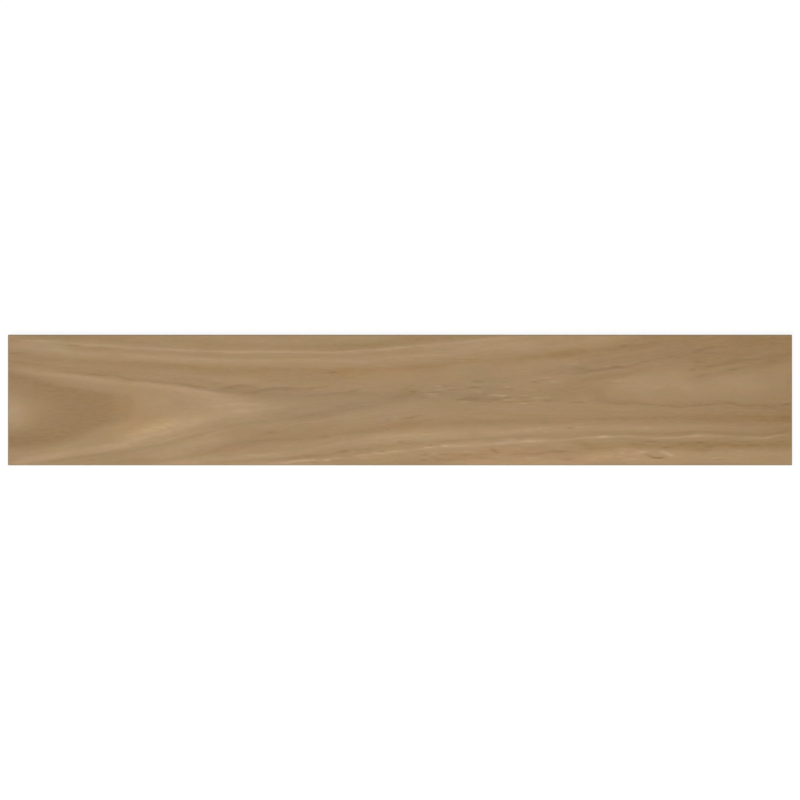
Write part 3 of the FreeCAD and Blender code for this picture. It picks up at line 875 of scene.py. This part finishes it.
# The fired body where the diamond wheels trued the edge: dense, dull and fine grained, with faint
# wheel marks along the edge. The glaze reaches a little way over the arris.
def groundBody():
    material, tree = emptyMaterial("ground porcelain body")
    place = addNode(tree, "TexCoord", {}).outputs["Object"]
    grit = addNode(tree, "TexNoise", {"Vector": place, "Scale": 1000 / body["grit"], **body["gritNoise"]})
    scale = [1000 / mark for mark in body["wheelMarks"]]
    along = addNode(tree, "Mapping", {"Vector": place, "Scale": scale})
    marks = addNode(tree, "TexNoise", {"Vector": along, "Scale": 1, "Detail": body["markDetail"]})
    ground = addNode(tree, "Mix", {"Factor": body["marksShare"], "A": grit, "B": marks})
    stops = zip(body["toneFrom"], (body["darkBody"], body["paleBody"]))
    fired = addNode(tree, "ValToRGB", {"Fac": ground}, stops=stops)
    height = addNode(tree, "SeparateXYZ", {"Vector": place}).outputs["Z"]
    start, full = body["lipFrom"]
    lip = addNode(
        tree, "MapRange",
        {"Value": height, "From Min": start / 1000, "From Max": full / 1000, "To Max": body["lip"]},
    )
    colour = addNode(
        tree, "Mix", {"Factor": lip, "A": fired, "B": linear(body["glazeLip"])}, data_type="RGBA"
    )
    finishSurface(tree, body["bump"], ground, {"Base Color": colour, "Roughness": body["roughness"]})
    return material


back = {
    "landUnder": (0.25, 0.02),  # height in mm where the land's wash starts and is full
    "streaks": (170, 11, 1000),  # mm along x, y and z
    "streakNoise": {"Detail": 4, "Roughness": 0.6},
    "powder": 0.9,  # mm, coarser than the pressed powder's real 0.3 so that it shows
    "powderNoise": {"Detail": 3, "Roughness": 0.6},
    "toneFrom": (0.3, 0.7),  # the noise that is all dark and all pale
    "washFrom": (0.8, 1.15),  # the noise that the wash starts at and is full at
    "wash": 0.7,
    "darkBody": "#94836B",
    "paleBody": "#AE9D84",
    "washColour": "#D8D1C2",
    "roughness": 0.85,
    "bump": (0.4, 0.1),  # strength, depth in mm
}


# The back as it left the press and the kiln rollers: raw body, with streaks of chalky kiln wash on
# the land that the rollers touched.
def pressedBack():
    material, tree = emptyMaterial("pressed porcelain back")
    place = addNode(tree, "TexCoord", {}).outputs["Object"]
    height = addNode(tree, "SeparateXYZ", {"Vector": place}).outputs["Z"]
    start, full = back["landUnder"]
    land = addNode(tree, "MapRange", {"Value": height, "From Min": start / 1000, "From Max": full / 1000})
    scale = [1000 / streak for streak in back["streaks"]]
    drawn = addNode(tree, "Mapping", {"Vector": place, "Scale": scale})
    wash = addNode(tree, "TexNoise", {"Vector": drawn, "Scale": 1, **back["streakNoise"]})
    fine = addNode(
        tree, "TexNoise", {"Vector": place, "Scale": 1000 / back["powder"], **back["powderNoise"]}
    )
    chalk = addNode(tree, "Math", {0: wash, 1: fine}, operation="ADD")
    start, full = back["washFrom"]
    cover = addNode(
        tree, "MapRange", {"Value": chalk, "From Min": start, "From Max": full, "To Max": back["wash"]}
    )
    mask = addNode(tree, "Math", {0: cover, 1: land}, operation="MULTIPLY")
    stops = zip(back["toneFrom"], (back["darkBody"], back["paleBody"]))
    pressed = addNode(tree, "ValToRGB", {"Fac": fine}, stops=stops)
    colour = addNode(
        tree, "Mix", {"Factor": mask, "A": pressed, "B": linear(back["washColour"])}, data_type="RGBA"
    )
    finishSurface(tree, back["bump"], fine, {"Base Color": colour, "Roughness": back["roughness"]})
    return material


studio = {
    "sky": 0.3,  # even light from all round
    # strength, spread in degrees, where it comes from
    "lamps": {"key": (2.2, 50, (-1.0, -1.3, 1.1)), "fill": (1.26, 70, (1.3, 0.9, 1.2))},
    "floorSize": 40,  # metres
    "floorGap": 0.3,  # mm under the tile
    "floorGlow": 0.845,  # what the camera sees of the floor, with the shadow in the rest
    "floorShadow": 0.2,
    "floorColour": "#E8E8E6",
    "lens": 85,
    "farthest": 100,  # metres that the camera sees
    "across": 1.2238,  # metres across the picture at the height of the face
}


def seenAsBackground(tree):  # 1 for the camera and for what a gloss or glass shows, 0 for other light
    path = addNode(tree, "LightPath", {}).outputs
    seen = path["Is Camera Ray"]
    for ray in ("Is Glossy Ray", "Is Transmission Ray"):
        seen = addNode(tree, "Math", {0: seen, 1: path[ray]}, operation="MAXIMUM")
    return seen


# Shows white to the camera but keeps the tile's shadow, and lights the tile as a pale floor does.
def paleFloor():
    material, tree = emptyMaterial("pale floor")
    shadow = addNode(tree, "BsdfDiffuse", {"Color": (studio["floorShadow"],) * 3 + (1,)})
    glow = addNode(tree, "Emission", {"Strength": studio["floorGlow"]})
    shown = addNode(tree, "AddShader", {0: shadow, 1: glow})
    plain = addNode(tree, "BsdfDiffuse", {"Color": linear(studio["floorColour"])})
    mixed = addNode(tree, "MixShader", {0: seenAsBackground(tree), 1: plain, 2: shown})
    addNode(tree, "OutputMaterial", {"Surface": mixed})
    return material


def makeStudio(top):
    world = bpy.data.worlds.new("studio")
    bpy.context.scene.world = world
    world.use_nodes = True
    tree = world.node_tree
    tree.nodes.clear()
    strength = addNode(tree, "MapRange", {"Value": seenAsBackground(tree), "To Min": studio["sky"]})
    white = addNode(tree, "Background", {"Color": (1, 1, 1, 1), "Strength": strength})
    addNode(tree, "OutputWorld", {"Surface": white})

    for name, (power, spread, place) in studio["lamps"].items():
        bpy.ops.object.light_add(type="SUN", location=place)
        sun = bpy.context.object
        sun.name = name
        sun.data.energy = power
        sun.data.angle = math.radians(spread)
        sun.rotation_euler = Vector(place).to_track_quat("Z", "Y").to_euler()

    deselectAll()
    bpy.ops.mesh.primitive_plane_add(size=studio["floorSize"], location=(0, 0, -studio["floorGap"] / 1000))
    floor = bpy.context.object
    floor.name = "floor"
    floor.data.materials.append(paleFloor())

    lens = bpy.data.cameras.new("camera")
    lens.lens = studio["lens"]
    lens.clip_end = studio["farthest"]
    camera = bpy.data.objects.new("camera", lens)
    bpy.context.collection.objects.link(camera)
    camera.location = (0, 0, top + studio["across"] * lens.lens / lens.sensor_width)
    bpy.context.scene.camera = camera
    bpy.context.scene.view_settings.view_transform = "Standard"


low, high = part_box(plank["node"])
length, width = (high[0] - low[0]) * 1000, (high[1] - low[1]) * 1000
slab = makeSlab(length, width)
closeBack(slab, makeRecesses())
print("plank modelled:", len(slab.data.vertices), "points,", len(slab.data.polygons), "faces")
printGrain(slab, length, width)
print("grain printed")
dressPlank(slab, length, width, [mattePrintedGlaze(), groundBody(), pressedBack()])
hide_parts(plank["node"])
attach(slab, "root")
print("plank dressed")
makeStudio(high[2])
print("studio ready")
